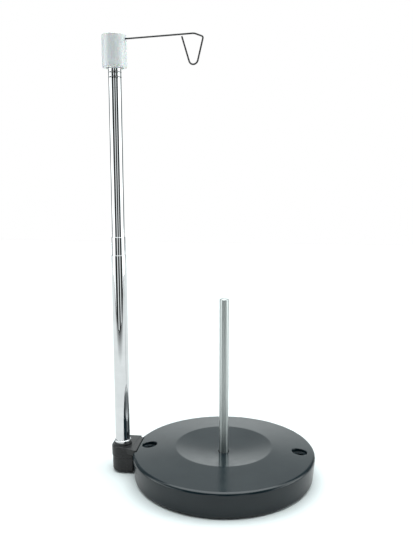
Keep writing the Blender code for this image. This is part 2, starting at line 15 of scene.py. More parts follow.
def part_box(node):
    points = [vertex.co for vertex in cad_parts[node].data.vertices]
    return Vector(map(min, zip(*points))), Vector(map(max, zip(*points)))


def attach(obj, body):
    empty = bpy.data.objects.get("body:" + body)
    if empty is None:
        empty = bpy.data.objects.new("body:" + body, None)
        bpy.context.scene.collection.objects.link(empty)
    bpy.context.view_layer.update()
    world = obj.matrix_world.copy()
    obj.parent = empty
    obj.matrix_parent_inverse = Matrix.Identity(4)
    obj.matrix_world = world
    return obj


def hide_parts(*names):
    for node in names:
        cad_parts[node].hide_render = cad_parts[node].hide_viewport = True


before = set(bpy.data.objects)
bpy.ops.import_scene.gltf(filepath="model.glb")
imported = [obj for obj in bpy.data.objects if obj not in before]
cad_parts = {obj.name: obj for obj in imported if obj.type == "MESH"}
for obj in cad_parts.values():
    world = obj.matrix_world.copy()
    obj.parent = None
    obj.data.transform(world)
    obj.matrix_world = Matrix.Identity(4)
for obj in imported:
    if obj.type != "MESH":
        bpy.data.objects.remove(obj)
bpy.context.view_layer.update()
MM = 0.001

# %% [markdown]
# ## Where things stand
# The CAD boxes give the places: the pin stands on the frame's own Z axis, and the mast's axis is the
# middle of the outer tube. Reading them keeps every new piece in step with the solids.

# %% Places from the CAD boxes


def middle_of(node):
    """The centre of a node's box, in the table plane."""
    low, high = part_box(node)
    return (low.x + high.x) / 2, (low.y + high.y) / 2


def radius_of(node):
    """Half the width of a turned node's box."""
    low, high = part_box(node)
    return (high.x - low.x) / 2


MAST = middle_of("outer_tube")
PIN = middle_of("spool_pin")
BASE_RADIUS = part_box("base_casting")[1].x
BASE_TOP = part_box("base_casting")[1].z
BASE_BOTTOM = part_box("base_casting")[0].z
print(f"mast at x {MAST[0] / MM:.1f} mm, base radius {BASE_RADIUS / MM:.1f} mm")

# %% [markdown]
# ## Outlines with rounded corners
# Real metal and plastic have no perfectly sharp corner, and the small rounding is what catches the
# light. So each outline is written as its corners, each with the radius of its rounding, and one helper
# replaces the corners by arcs. It serves turned profiles, flat outlines and the bent wire alike.

# %% Round the corners of an outline


def rounded(corners, closed=False, steps=6):
    """Points of an outline whose corners are replaced by arcs that are tangent to both legs.

    Each corner is (across, up, rounding). The arc's centre lies on the line that halves the corner, at
    rounding / sin(half the corner's angle); it starts and ends rounding / tan(half) from the corner.
    """
    table = np.array(corners, float)
    points = []
    for i, (across, up, rounding) in enumerate(table):
        corner = np.array((across, up))
        is_end = not closed and i in (0, len(table) - 1)
        if is_end or rounding == 0.0:
            points.append(corner[None])
            continue
        legs = table[[i - 1, (i + 1) % len(table)], :2] - corner
        legs /= np.linalg.norm(legs, axis=1)[:, None]
        half = math.acos(float(np.clip(legs[0] @ legs[1], -1.0, 1.0))) / 2
        halving = legs.sum(0) / np.linalg.norm(legs.sum(0))
        centre = corner + halving * rounding / math.sin(half)
        start, end = corner + legs * rounding / math.tan(half) - centre
        first = math.atan2(start[1], start[0])
        sweep = (math.atan2(end[1], end[0]) - first + math.pi) % (2 * math.pi) - math.pi
        turn = first + sweep * np.linspace(0.0, 1.0, steps + 1)
        points.append(centre + rounding * np.column_stack((np.cos(turn), np.sin(turn))))
    return np.vstack(points)


square = rounded([(0, 0, 1), (4, 0, 1), (4, 4, 1), (0, 4, 1)], closed=True)
print("a square with rounded corners has", len(square), "points")

# %% [markdown]
# ## One skin for every shape
# A turned rod, a tube and a bent wire are the same thing to a computer: a row of rings, each ring a row
# of points. One helper joins ring to ring with four-sided faces and closes the ends with a single pole
# point. The whole grid is worked out at once as an array. Faces look outward when the rings run down
# the outside of the shape while their points run anticlockwise seen from above.

# %% Join rings of points into a closed mesh


def skin(name, rings, start=None, end=None):
    """A closed mesh over an array of rings, shaped (rings, points in a ring, 3).

    With start and end the surface is closed by a pole at each end. Without them the last ring joins the
    first, which gives a pipe-shaped wall. The map u runs round a ring, and v runs along the rings.
    """
    count, around = rings.shape[:2]
    is_loop = start is None
    rows = np.arange(count if is_loop else count - 1)
    i, j = np.meshgrid(rows, np.arange(around), indexing="ij")
    below, beside = (i + 1) % count, (j + 1) % around
    quads = np.stack((i * around + j, below * around + j,
                      below * around + beside, i * around + beside), -1)
    faces = quads.reshape(-1, 4).tolist()
    points = rings.reshape(-1, 3)
    uv = np.stack((np.stack((j, i), -1), np.stack((j, i + 1), -1), np.stack((j + 1, i + 1), -1),
                   np.stack((j + 1, i), -1)), -2).reshape(-1, 2).astype(float)
    if not is_loop:
        k = np.arange(around)
        beside = (k + 1) % around
        first, last = len(points), len(points) + 1
        bottom = (count - 1) * around
        faces += np.stack((np.full(around, first), k, beside), -1).tolist()
        faces += np.stack((np.full(around, last), bottom + beside, bottom + k), -1).tolist()
        points = np.vstack((points, start, end))
        uv = np.vstack((uv, np.stack((k + 0.5, k * 0, k, k * 0, k + 1, k * 0), -1).reshape(-1, 2),
                        np.stack((k + 0.5, k * 0 + count, k + 1, k * 0 + count, k, k * 0 + count),
                                 -1).reshape(-1, 2)))
    mesh = bpy.data.meshes.new(name)
    mesh.from_pydata(points.tolist(), [], faces)
    mesh.uv_layers.new(name="UVMap").data.foreach_set("uv", (uv / (around, count)).ravel())
    piece = bpy.data.objects.new(name, mesh)
    bpy.context.scene.collection.objects.link(piece)
    return smooth(piece)


def smooth(piece, angle=32.0):
    """Smooth shading, with edges sharper than angle (in degrees) kept as edges."""
    piece.data.shade_smooth()
    piece.data.set_sharp_from_angle(angle=math.radians(angle))
    return piece


def turned(name, profile, segments, centre=(0.0, 0.0), closed=False):
    """A turned piece: each (radius, height) of the profile becomes a ring about an upright axis.

    A point is (centre + radius * cos turn, centre + radius * sin turn, height). A solid's profile starts
    and ends on the axis, where a pole closes it; a ring's profile is a closed loop.
    """
    turn = np.arange(segments) * 2 * math.pi / segments
    poles = {}
    if not closed:
        poles = {key: np.array((*centre, profile[row, 1])) for key, row in (("start", 0), ("end", -1))}
        profile = profile[1:-1]
    radius, height = profile[:, :1], profile[:, 1:]
    rings = np.stack((centre[0] + radius * np.cos(turn), centre[1] + radius * np.sin(turn),
                      height + 0 * turn), -1)
    return skin(name, rings, **poles)


# %% [markdown]
# ## Cutting one piece with another
# Holes and pockets are cut the way a drill cuts them. The cutter is a turned shape of its own, so a
# hole gets its rounded mouth from the cutter's profile. The result is kept as plain mesh, the cutter is
# thrown away, and normals weighted by face area keep the flats flat right up to a rounded edge.

# %% Apply modifiers, cut and join


def finished(piece):
    """Keep the mesh that a piece's modifiers give, and drop the modifiers."""
    bpy.context.view_layer.update()
    evaluated = piece.evaluated_get(bpy.context.evaluated_depsgraph_get())
    made = bpy.data.meshes.new_from_object(evaluated)
    piece.modifiers.clear()
    old, piece.data = piece.data, made
    bpy.data.meshes.remove(old)
    made.name = piece.name
    return piece


def joined(piece, other, operation):
    """Cut the other shape from the piece (DIFFERENCE) or add it (UNION), and throw the other away."""
    step = piece.modifiers.new("join", "BOOLEAN")
    step.operation, step.solver, step.object = operation, "EXACT", other
    finished(piece)
    bpy.data.objects.remove(other, do_unlink=True)
    return smooth(piece)


def flats_kept_flat(piece):
    """Weigh normals by face area, so that a flat stays flat beside its rounded edge."""
    step = piece.modifiers.new("flats", "WEIGHTED_NORMAL")
    step.keep_sharp = True
    return finished(piece)


def laid_along_x(piece, at):
    """Turn an upright piece so that its own Z points to -X, and carry it to a place."""
    points = np.empty(len(piece.data.vertices) * 3)
    piece.data.vertices.foreach_get("co", points)
    x, y, z = points.reshape(-1, 3).T
    turned_points = np.stack((at[0] - z, at[1] + y, at[2] + x), -1)
    piece.data.vertices.foreach_set("co", turned_points.ravel())
    piece.data.update()
    return piece


def report(piece):
    """Print how large a piece is and how many faces it has."""
    size = [round(v / MM, 1) for v in piece.dimensions]
    print(piece.name, "size in mm", size, "faces", len(piece.data.polygons))


# %% [markdown]
# ## The base casting
# The base is an iron casting, turned on its top and enamelled black. From the rim its top rises as a
# flat cone to a ridge, and inside the ridge lies a dish, so that a cone of thread sits steadily on the
# ridge. The dish grows steeper outward: its height follows a power of the distance from the middle. A
# recess underneath takes the pad. A turned profile gives all of that as one revolved surface.

# %% The base's profile
RIM_TOP, RIM_START = 17.6 * MM, 57.8 * MM
RIDGE_RADIUS = 32.5 * MM
CONE_SLOPE = (BASE_TOP - RIM_TOP) / (RIM_START - RIDGE_RADIUS)
DISH_FLOOR, DISH_EDGE = 16.3 * MM, 31.1 * MM
DISH_MIDDLE, DISH_POWER = 5.5 * MM, 1.4
PIN_SEAT, PIN_SEAT_RADIUS = DISH_FLOOR - 3.3 * MM, 3.5 * MM
PAD_RECESS, PAD_RECESS_RADIUS = 2.3 * MM, 55.1 * MM
NUT_POCKET, NUT_POCKET_RADIUS = 7.8 * MM, 7.2 * MM
TAIL_HOLE_RADIUS = 2.7 * MM


def cone_height(radius):
    """Height of the conical top at a distance from the pin: it falls evenly from the ridge."""
    return BASE_TOP - CONE_SLOPE * (radius - RIDGE_RADIUS)


def dish_height(radius):
    """Height of the dish: floor + depth * (way from its middle to its edge) ** power."""
    way = (radius - DISH_MIDDLE) / (DISH_EDGE - DISH_MIDDLE)
    return DISH_FLOOR + (BASE_TOP - DISH_FLOOR) * way ** DISH_POWER


def base_profile():
    """The section, from the pin's seat across the dish and the cone, round the rim and back under."""
    mouth = rounded([(PIN_SEAT_RADIUS, PIN_SEAT, 0), (PIN_SEAT_RADIUS, DISH_FLOOR, 0.3 * MM),
                     (5 * MM, DISH_FLOOR, 0)])[1:]
    across = np.linspace(DISH_MIDDLE, 30.5 * MM, 40)
    dish = np.column_stack((across, dish_height(across)))
    edge_slope = DISH_POWER * (BASE_TOP - DISH_FLOOR) / (DISH_EDGE - DISH_MIDDLE)
    crest = (edge_slope * DISH_EDGE + CONE_SLOPE * RIDGE_RADIUS) / (edge_slope + CONE_SLOPE)
    ridge = rounded([(30.6 * MM, dish_height(30.6 * MM), 0), (crest, cone_height(crest), 3.5 * MM),
                     (33 * MM, cone_height(33 * MM), 0)], steps=10)
    across = np.linspace(34.0, 57.0, 16) * MM
    cone = np.column_stack((across, cone_height(across)))
    rim = rounded([(57 * MM, cone_height(57 * MM), 0), (BASE_RADIUS, cone_height(BASE_RADIUS), 2.2 * MM),
                   (BASE_RADIUS - 1.5 * MM, BASE_BOTTOM, 1.8 * MM),
                   (PAD_RECESS_RADIUS, BASE_BOTTOM, 0.2 * MM), (PAD_RECESS_RADIUS, PAD_RECESS, 0.1 * MM),
                   (NUT_POCKET_RADIUS, PAD_RECESS, 0.2 * MM), (NUT_POCKET_RADIUS, NUT_POCKET, 0.1 * MM),
                   (TAIL_HOLE_RADIUS, NUT_POCKET, 0.1 * MM), (TAIL_HOLE_RADIUS, PIN_SEAT, 0.1 * MM),
                   (PIN_SEAT_RADIUS, PIN_SEAT, 0)], steps=12)[1:]
    return np.vstack((mouth, dish, ridge, cone, rim))


base = turned("base_casting_enamelled", base_profile(), 288, PIN, closed=True)
report(base)

# %% [markdown]
# The two screw-down holes are counterbored and their mouths are a little rounded by the enamel. The
# cutter's profile flares outward near the top: it follows a quarter round to 70 degrees and then runs
# on straight, so it crosses the top at a clear angle instead of only touching it. The cutter's upper
# rings are lifted to follow the conical top, so that the rounding is even all the way round.

# %% Drill the base and cut the bracket's seat
HOLE_OFFSET = 49.7 * MM
HOLE_SHELF = 16 * MM
HOLE_RADIUS, COUNTERBORE_RADIUS = 3.1 * MM, 4.9 * MM


def hole_cutter(name, x):
    """A turned cutter: through hole, shelf, counterbore and rounded mouth."""
    top = cone_height(HOLE_OFFSET)
    bore, mouth = COUNTERBORE_RADIUS, 0.5 * MM
    turn = np.radians(np.linspace(0.0, 70.0, 8))[::-1]
    flare = np.column_stack((bore + mouth * (1 - np.cos(turn)), top - mouth + mouth * np.sin(turn)))
    rise = 0.25 * MM
    brink = flare[0] + (rise * math.tan(math.radians(70.0)), rise)
    low = rounded([(bore, HOLE_SHELF + 1 * MM, 0), (bore, HOLE_SHELF, 0.3 * MM),
                   (HOLE_RADIUS, HOLE_SHELF, 0.2 * MM), (HOLE_RADIUS, -2 * MM, 0), (0, -2 * MM, 0)])[1:]
    profile = np.vstack(((0, brink[1]), brink, flare, low))
    cutter = turned(name, profile, 96, (x, 0.0))
    points = np.empty(len(cutter.data.vertices) * 3)
    cutter.data.vertices.foreach_get("co", points)
    points = points.reshape(-1, 3)
    is_mouth = points[:, 2] > top - 1 * MM
    lift = cone_height(np.hypot(points[:, 0], points[:, 1])) - top
    points[is_mouth, 2] += lift[is_mouth]
    cutter.data.vertices.foreach_set("co", points.ravel())
    return cutter


def box_between(name, low, high):
    """A box between two corners: two rings of four points, closed above and below."""
    x, y = np.array((low[0], high[0])), np.array((low[1], high[1]))
    plan = np.array([(x[1], y[0]), (x[1], y[1]), (x[0], y[1]), (x[0], y[0])])
    rings = np.stack([np.column_stack((plan, np.full(4, z))) for z in (high[2], low[2])])
    centre = plan.mean(0)
    return skin(name, rings, np.array((*centre, high[2])), np.array((*centre, low[2])))


for side, x in (("left", -HOLE_OFFSET), ("right", HOLE_OFFSET)):
    joined(base, hole_cutter("hole_cutter_" + side, x), "DIFFERENCE")
seat = box_between("seat_cutter", (-65 * MM, -11.3 * MM, 14 * MM), (-56.1 * MM, 15.3 * MM, 24 * MM))
joined(base, seat, "DIFFERENCE")
SCREW_AT = (-BASE_RADIUS, 10.2 * MM, 7.6 * MM)
tapped = np.array([(0, 3), (2.1, 3), (2.1, -14), (0, -14)]) * MM
joined(base, laid_along_x(turned("tapped_cutter", tapped, 48), SCREW_AT), "DIFFERENCE")
flats_kept_flat(base)
report(base)

# %% [markdown]
# ## The pad, the pin and the bracket's screw
# The pad under the base is a disc with two holes. The pin is a ground steel rod with a rounded crown
# and a shoulder below. Both are turned. The cap screw and its washer lie on their side in the bracket,
# so they are turned upright and then laid along X. Its hexagon socket is cut with a six-sided prism.

# %% Pad, pin, screw and washer
PAD_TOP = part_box("base_pad")[1].z
PIN_RADIUS, PIN_TOP = radius_of("spool_pin"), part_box("spool_pin")[1].z
PIN_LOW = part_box("spool_pin")[0].z
SHOULDER = PIN_SEAT + 0.3 * MM

pad_radius = radius_of("base_pad")
pad = turned("base_pad_foam", rounded([(0, PAD_TOP, 0), (pad_radius, PAD_TOP, 0.3 * MM),
                                       (pad_radius, 0, 0.5 * MM), (0, 0, 0)]), 240, PIN)
for x in (-HOLE_OFFSET, HOLE_OFFSET):
    punch = np.array([(0, 5), (4, 5), (4, -1), (0, -1)]) * MM
    joined(pad, turned("pad_punch", punch, 64, (x, 0.0)), "DIFFERENCE")
flats_kept_flat(pad)

pin = turned("spool_pin_ground", rounded([
    (0, PIN_TOP, 0), (PIN_RADIUS, PIN_TOP, 0.8 * MM), (PIN_RADIUS, SHOULDER, 0.1 * MM),
    (2.5 * MM, SHOULDER, 0.1 * MM), (2.5 * MM, PIN_LOW, 0.4 * MM), (0, PIN_LOW, 0)], steps=10), 96, PIN)

screw = turned("bracket_cap_screw", rounded([
    (0, 15.2 * MM, 0), (3.4 * MM, 15.2 * MM, 0.35 * MM), (3.4 * MM, 12.8 * MM, 0.1 * MM),
    (2 * MM, 12.8 * MM, 0.1 * MM), (2 * MM, -10 * MM, 0.4 * MM), (0, -10 * MM, 0)]), 64)
corner = 1.25 * MM / math.cos(math.radians(30.0))
socket = turned("hexagon_cutter", np.array([(0, 17 * MM), (corner, 17 * MM), (corner, 13.7 * MM),
                                            (0, 13.2 * MM)]), 6)
joined(screw, socket, "DIFFERENCE")
laid_along_x(screw, SCREW_AT)
washer = laid_along_x(turned("bracket_flat_washer", rounded([
    (2.15 * MM, 12.6 * MM, 0.08 * MM), (3.8 * MM, 12.6 * MM, 0.15 * MM), (3.8 * MM, 11.8 * MM, 0.15 * MM),
    (2.15 * MM, 11.8 * MM, 0.08 * MM)], closed=True), 64, closed=True), SCREW_AT)
for piece in (pad, pin, screw, washer):
    report(piece)

# %% [markdown]
# ## The bracket
# The bracket is a die casting. It hooks over the rim with a lip, and the mast stands in its socket. In
# plan it is round at the front and square behind. Such a casting has soft edges everywhere, also where
# two parts of it meet. So its blocks are joined and cut first, then the whole is remeshed with small
# cubes and relaxed, which rounds every edge and inner corner by a few tenths of a millimetre.

# %% Blocks of the bracket
BRACKET_TOP, BRACKET_STEP = 18.2 * MM, 11.1 * MM
NECK_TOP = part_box("mast_bracket")[1].z
BRACKET_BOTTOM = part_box("mast_bracket")[0].z
BRACKET_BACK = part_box("mast_bracket")[1].y
BOSS = MAST[0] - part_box("mast_bracket")[0].x


def block(name, outline, low, high, low_edge, high_edge):
    """A convex outline with a thickness, its upper and lower edges rounded.

    Each ring is the outline moved inward: by edge * (1 - cos turn) while the height gains
    edge * sin turn. A corner moves along the sum of its two sides' normals, divided by one plus their
    cosine, so that both sides stay parallel.
    """
    sides = np.roll(outline, -1, 0) - outline
    sides /= np.linalg.norm(sides, axis=1)[:, None]
    normal = np.column_stack((-sides[:, 1], sides[:, 0]))
    before = np.roll(normal, 1, 0)
    inward = (normal + before) / (1 + (normal * before).sum(1))[:, None]
    turn = np.radians(np.linspace(90.0, 0.0, 7))
    inset = np.concatenate((high_edge * (1 - np.cos(turn)), low_edge * (1 - np.cos(turn[::-1]))))
    height = np.concatenate((high - high_edge * (1 - np.sin(turn)),
                             low + low_edge * (1 - np.sin(turn[::-1]))))
    plan = outline + inward * inset[:, None, None]
    rings = np.concatenate((plan, np.broadcast_to(height[:, None, None], plan.shape[:2] + (1,))), -1)
    centre = outline.mean(0)
    return skin(name, rings, np.array((*centre, high)), np.array((*centre, low)))


def bracket_plan(boss, reach):
    """Anticlockwise plan: a round front about the mast, a straight left side, a rounded back corner."""
    left, back = MAST[0] - boss, BRACKET_BACK - (BOSS - boss)
    corners = [(reach, back, 0), (left, back, 4.5 * MM), (left, -boss, boss), (reach, -boss, 0)]
    return rounded(corners, closed=True, steps=24)


lower = block("mast_bracket_cast", bracket_plan(BOSS - 0.4 * MM, -50 * MM),
              BRACKET_BOTTOM, BRACKET_STEP + 2.5 * MM, 1.0 * MM, 0.3 * MM)
upper = block("bracket_upper", bracket_plan(BOSS, -48 * MM), BRACKET_STEP, BRACKET_TOP, 0.2 * MM, 0.4 * MM)
joined(lower, upper, "UNION")
rim = np.array([(0, 30), (60.3, 30), (60.3, -2), (0, -2)]) * MM
joined(lower, turned("rim_cutter", rim, 288, PIN), "DIFFERENCE")
lip_plan = rounded([(-65.4, -6.5, 0), (-56.6, -11, 1.2), (-56.6, 12, 1.6), (-59.9, 14.4, 1.6),
                    (-65.4, 14.4, 0)], closed=True) * MM
lip = block("bracket_lip", lip_plan, 14.3 * MM, BRACKET_TOP - 0.15 * MM, 0.3 * MM, 0.35 * MM)
joined(lower, lip, "UNION")
neck = turned("bracket_neck", rounded([(0, NECK_TOP, 0), (6 * MM, NECK_TOP, 0.4 * MM), (6 * MM, 16 * MM, 0),
                                       (0, 16 * MM, 0)]), 128, MAST)
joined(lower, neck, "UNION")
report(lower)

# %% Socket and screw hole, then soft cast edges
socket_bore = np.array([(0, 25), (4.95, 25), (4.95, 5.6), (1.75, 5.6), (1.75, 3.9), (4, 3.9), (4, -1),
                        (0, -1)]) * MM
joined(lower, turned("socket_cutter", socket_bore, 128, MAST), "DIFFERENCE")
side_hole = np.array([(0, 22), (4, 22), (4, 11.5), (2.2, 11.5), (2.2, -5), (0, -5)]) * MM
joined(lower, laid_along_x(turned("side_hole_cutter", side_hole, 96), SCREW_AT), "DIFFERENCE")
bracket = lower
cubes = bracket.modifiers.new("cubes", "REMESH")
cubes.mode, cubes.voxel_size = "VOXEL", 0.18 * MM
relax = bracket.modifiers.new("relax", "SMOOTH")
relax.factor, relax.iterations = 0.5, 3
finished(bracket)
bracket.data.shade_smooth()
report(bracket)

# %% [markdown]
# ## The telescopic mast
# Each stage is drawn tube, chromed, with its mouth rolled inward round the next stage. The wall is a
# closed profile: down the outside, up the inside, and the rolled lip on top. The collar at the foot is
# a turned ring with a rounded bead. The top tube's wall is pressed in at two rows of dimples.

# %% Tubes and collar
TUBE_SEGMENTS = 144


def tube_profile(radius, wall, low, high, lip, lip_height):
    """Closed section of a tube: rolled mouth, outside, lower edge, inside, and the lip's underside."""
    inner = radius - wall
    corners = [(lip, high - 0.05 * MM, 0.04 * MM), (lip + 0.1 * MM, high, 0.06 * MM),
               (radius, high, 0.3 * MM), (radius, low, 0.05 * MM), (inner, low, 0.05 * MM),
               (inner, high - lip_height - 0.25 * MM, 0.1 * MM), (lip, high - lip_height, 0.1 * MM)]
    return rounded(corners, closed=True, steps=8)


def tube_of(node, name, wall, lip, lip_height):
    """A tube with the radius and the ends of a CAD node."""
    low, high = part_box(node)
    tube = turned(name, tube_profile(radius_of(node), wall, low.z, high.z, lip, lip_height),
                  TUBE_SEGMENTS, MAST, closed=True)
    report(tube)
    return tube


TOP_RADIUS = radius_of("top_tube")
LIP_GAP = 0.06 * MM
outer = tube_of("outer_tube", "outer_tube_chromed", 0.2 * MM, radius_of("middle_tube") + LIP_GAP, 1.5 * MM)
middle = tube_of("middle_tube", "middle_tube_chromed", 0.22 * MM, TOP_RADIUS + LIP_GAP, 1.2 * MM)

collar_low, collar_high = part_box("tube_collar")
bead = radius_of("tube_collar")
collar = turned("tube_collar_chromed", rounded([
    (4.9 * MM, collar_high.z, 0.1 * MM), (bead, collar_high.z, 0.45 * MM), (bead, collar_low.z, 0.45 * MM),
    (4.9 * MM, collar_low.z, 0.05 * MM)], closed=True, steps=8), TUBE_SEGMENTS, MAST, closed=True)
report(collar)

# %% [markdown]
# The dimples lock the plug in the top tube. They are real dents: the wall moves inward by a bell curve
# of the distance to the nearest dimple, measured round the tube and along it. A faint rolled line runs
# below them. Only the rows of points near the dimples are close together, the rest of the tube is sparse.
# The depth of the dents is also kept as a mask that paints them nearly black: painted shade.

# %% Top tube with its dimples
DIMPLES_AROUND, DIMPLE_ROWS = 18, (258.8 * MM, 255.85 * MM)
DIMPLE_DEPTH, DIMPLE_REACH = 0.3 * MM, 0.30 * MM
FIRST_DIMPLE = math.radians(-77.5)
ROLLED_LINE = 249.4 * MM


def pressed_in(turn, height, radius):
    """How far the wall moves inward: a sum of bell curves, plus the shallow rolled line."""
    pitch = 2 * math.pi / DIMPLES_AROUND
    aside = radius * ((turn - FIRST_DIMPLE + pitch / 2) % pitch - pitch / 2)
    depth = 0.0
    for row in DIMPLE_ROWS:
        distance = aside ** 2 + (height - row) ** 2
        depth = depth + DIMPLE_DEPTH * np.exp(-distance / (2 * DIMPLE_REACH ** 2))
    return depth + 0.03 * MM * np.exp(-((height - ROLLED_LINE) / (0.2 * MM)) ** 2)


def dimpled_tube(name, low, high, wall, segments=288):
    """The top tube: rows close together where the wall is dented, both faces moved alike."""
    rows = np.concatenate(([low], np.arange(248.7, 250.1, 0.1) * MM, np.arange(254.5, 260.2, 0.1) * MM))
    edge = 0.12 * MM
    outside = [(TOP_RADIUS - edge, high), (TOP_RADIUS, high - edge)] + [(TOP_RADIUS, z) for z in rows[::-1]]
    inside = [(TOP_RADIUS - wall, z) for z in rows] + [(TOP_RADIUS - wall, high)]
    profile = np.array(outside + inside)
    turn = np.arange(segments) * 2 * math.pi / segments
    radius, height = profile[:, :1], profile[:, 1:]
    radius = radius - pressed_in(turn, height, TOP_RADIUS)
    rings = np.stack((MAST[0] + radius * np.cos(turn), MAST[1] + radius * np.sin(turn),
                      height + 0 * turn), -1)
    tube = skin(name, rings)
    # The depth, scaled to 0..1, is kept as a point attribute: the mask for the dimples' painted shade.
    depth = pressed_in(turn, height, TOP_RADIUS) / DIMPLE_DEPTH
    dimple_painted_shade_mask = tube.data.attributes.new("dimple_painted_shade_mask", "FLOAT", "POINT")
    dimple_painted_shade_mask.data.foreach_set("value", np.clip(depth, 0.0, 1.0).ravel())
    return tube


top_low, top_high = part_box("top_tube")
top = dimpled_tube("top_tube_chromed", top_low.z, top_high.z, 0.24 * MM)
report(top)

# %% [markdown]
# The brass plug fills the tube's upper end. Two grooves take the dimples, and its neck and snap head
# stand above the tube: the cap turns on them.

# %% Plug of the top tube
plug_low, plug_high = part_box("tube_top_plug")
TUBE_END = top_high.z - 0.3 * MM
HEAD_LOW = plug_high.z - 2.4 * MM
PLUG_RADIUS, GROOVE_RADIUS = 3.8 * MM, 3.4 * MM
GROOVE = ((PLUG_RADIUS, 0.9), (GROOVE_RADIUS, 0.6), (GROOVE_RADIUS, -0.6), (PLUG_RADIUS, -0.9))
grooves = [(radius, row + rise * MM, 0.1 * MM) for row in DIMPLE_ROWS for radius, rise in GROOVE]
top_plug = turned("tube_top_plug_turned", rounded([
    (0, plug_high.z, 0), (2.6 * MM, plug_high.z, 0.2 * MM), (3.1 * MM, plug_high.z - 0.8 * MM, 0.2 * MM),
    (3.1 * MM, HEAD_LOW, 0.1 * MM), (2.4 * MM, HEAD_LOW, 0.1 * MM), (2.4 * MM, TUBE_END, 0.1 * MM),
    (PLUG_RADIUS, TUBE_END, 0.2 * MM), *grooves, (PLUG_RADIUS, plug_low.z, 0.3 * MM),
    (0, plug_low.z, 0)]), 128, MAST)
report(top_plug)

# %% [markdown]
# ## The thread guide
# The cap is a round white moulding, hollow from below, with a hole in its side for the wire. The wire is
# one bent rod: a level arm, a soft and a sharp bend down, and an open V whose free end comes back to the
# arm. Its skin is a circle carried along the bent path; the last rings shrink like a ball, because the
# cut ends are tumbled round.

# %% Cap
CAP_RADIUS = radius_of("guide_cap")
cap_low, cap_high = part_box("guide_cap")
WIRE_RADIUS = 0.5 * MM
WIRE_HEIGHT = cap_high.z - 3 * MM
ARM_ANGLE = math.radians(-15.9)
CAP_BORE = cap_low.z + 9.2 * MM
cap = turned("guide_cap_moulded", rounded([
    (0, cap_high.z, 0), (CAP_RADIUS, cap_high.z, 0.7 * MM), (CAP_RADIUS, cap_low.z, 0.5 * MM),
    (5.4 * MM, cap_low.z, 0.3 * MM), (5.4 * MM, CAP_BORE, 0.4 * MM), (2.6 * MM, CAP_BORE, 0.1 * MM),
    (2.6 * MM, CAP_BORE + 2.6 * MM, 0.1 * MM), (3.3 * MM, CAP_BORE + 2.6 * MM, 0.1 * MM),
    (3.3 * MM, CAP_BORE + 5.6 * MM, 0.3 * MM), (0, CAP_BORE + 5.6 * MM, 0)], steps=12), 160, MAST)
drill = turned("wire_hole_cutter", np.array([(0, -2.2), (0.6, -2.2), (0.6, -12), (0, -12)]) * MM, 32)
laid_along_x(drill, (0.0, 0.0, 0.0))
drill.data.transform(Matrix.Translation((*MAST, WIRE_HEIGHT)) @ Matrix.Rotation(ARM_ANGLE, 4, "Z"))
joined(cap, drill, "DIFFERENCE")
flats_kept_flat(cap)
report(cap)

# %% Bent wire


def swept(name, path, radius, sides, out, across):
    """A round rod along a path in an upright plane; out points along the arm, across is level.

    At each path point the ring is path + r * (cos turn * a + sin turn * b), with b the level direction
    square to the plane and a square to both. At the ends r follows a quarter of a circle to zero.
    """
    tangent = np.gradient(path, axis=0)
    tangent /= np.linalg.norm(tangent, axis=1)[:, None]
    a = np.column_stack((tangent[:, 1], -tangent[:, 0]))
    tilt = np.radians(np.linspace(15.0, 90.0, 6))
    beyond, shrunk = radius * np.cos(tilt)[:, None], radius * np.sin(tilt)
    before = path[0] - tangent[0] * beyond
    after = (path[-1] + tangent[-1] * beyond)[::-1]
    flat = np.vstack((before, path, after))
    width = np.concatenate((shrunk, np.full(len(path), radius), shrunk[::-1]))
    a = np.vstack((np.repeat(a[:1], len(tilt), 0), a, np.repeat(a[-1:], len(tilt), 0)))
    poles = [path[0] - tangent[0] * radius, path[-1] + tangent[-1] * radius]

    def lift(plane):
        """Carry points of the upright plane into space: the first value along out, the second up."""
        return plane[..., :1] * out + plane[..., 1:] * np.array((0.0, 0.0, 1.0))

    turn = np.arange(sides) * 2 * math.pi / sides
    circle = (np.cos(turn)[:, None] * lift(a)[:, None] + np.sin(turn)[:, None] * across)
    rings = lift(flat)[:, None] + width[:, None, None] * circle
    centre = np.array((*MAST, 0.0))
    return skin(name, rings + centre, lift(poles[0]) + centre, lift(poles[1]) + centre)


out = np.array((math.cos(ARM_ANGLE), math.sin(ARM_ANGLE), 0.0))
across = np.array((-out[1], out[0], 0.0))
bends = np.array([(2.6, 0, 0), (53.2, 0, 6), (58.9, -2.2, 1.2), (52.93, -24.6, 2.9), (45.4, -1.5, 0)]) * MM
path = rounded(bends, steps=20) + (0.0, WIRE_HEIGHT)
wire = swept("guide_wire_bent", path, WIRE_RADIUS, 24, out, across)
report(wire)

# %% [markdown]
# ## Finishes
# Every finish is one Principled shader with patterns of noise in the piece's own Object coordinates:
# clouds that shift the colour and the gloss a little, and a fine relief. Stretching the coordinates
# turns clouds into draw lines along a tube or grinding rings round the pin. Values that don't change
# over the surface sit on the shader itself.

# %% A shader with noise for colour, gloss and relief


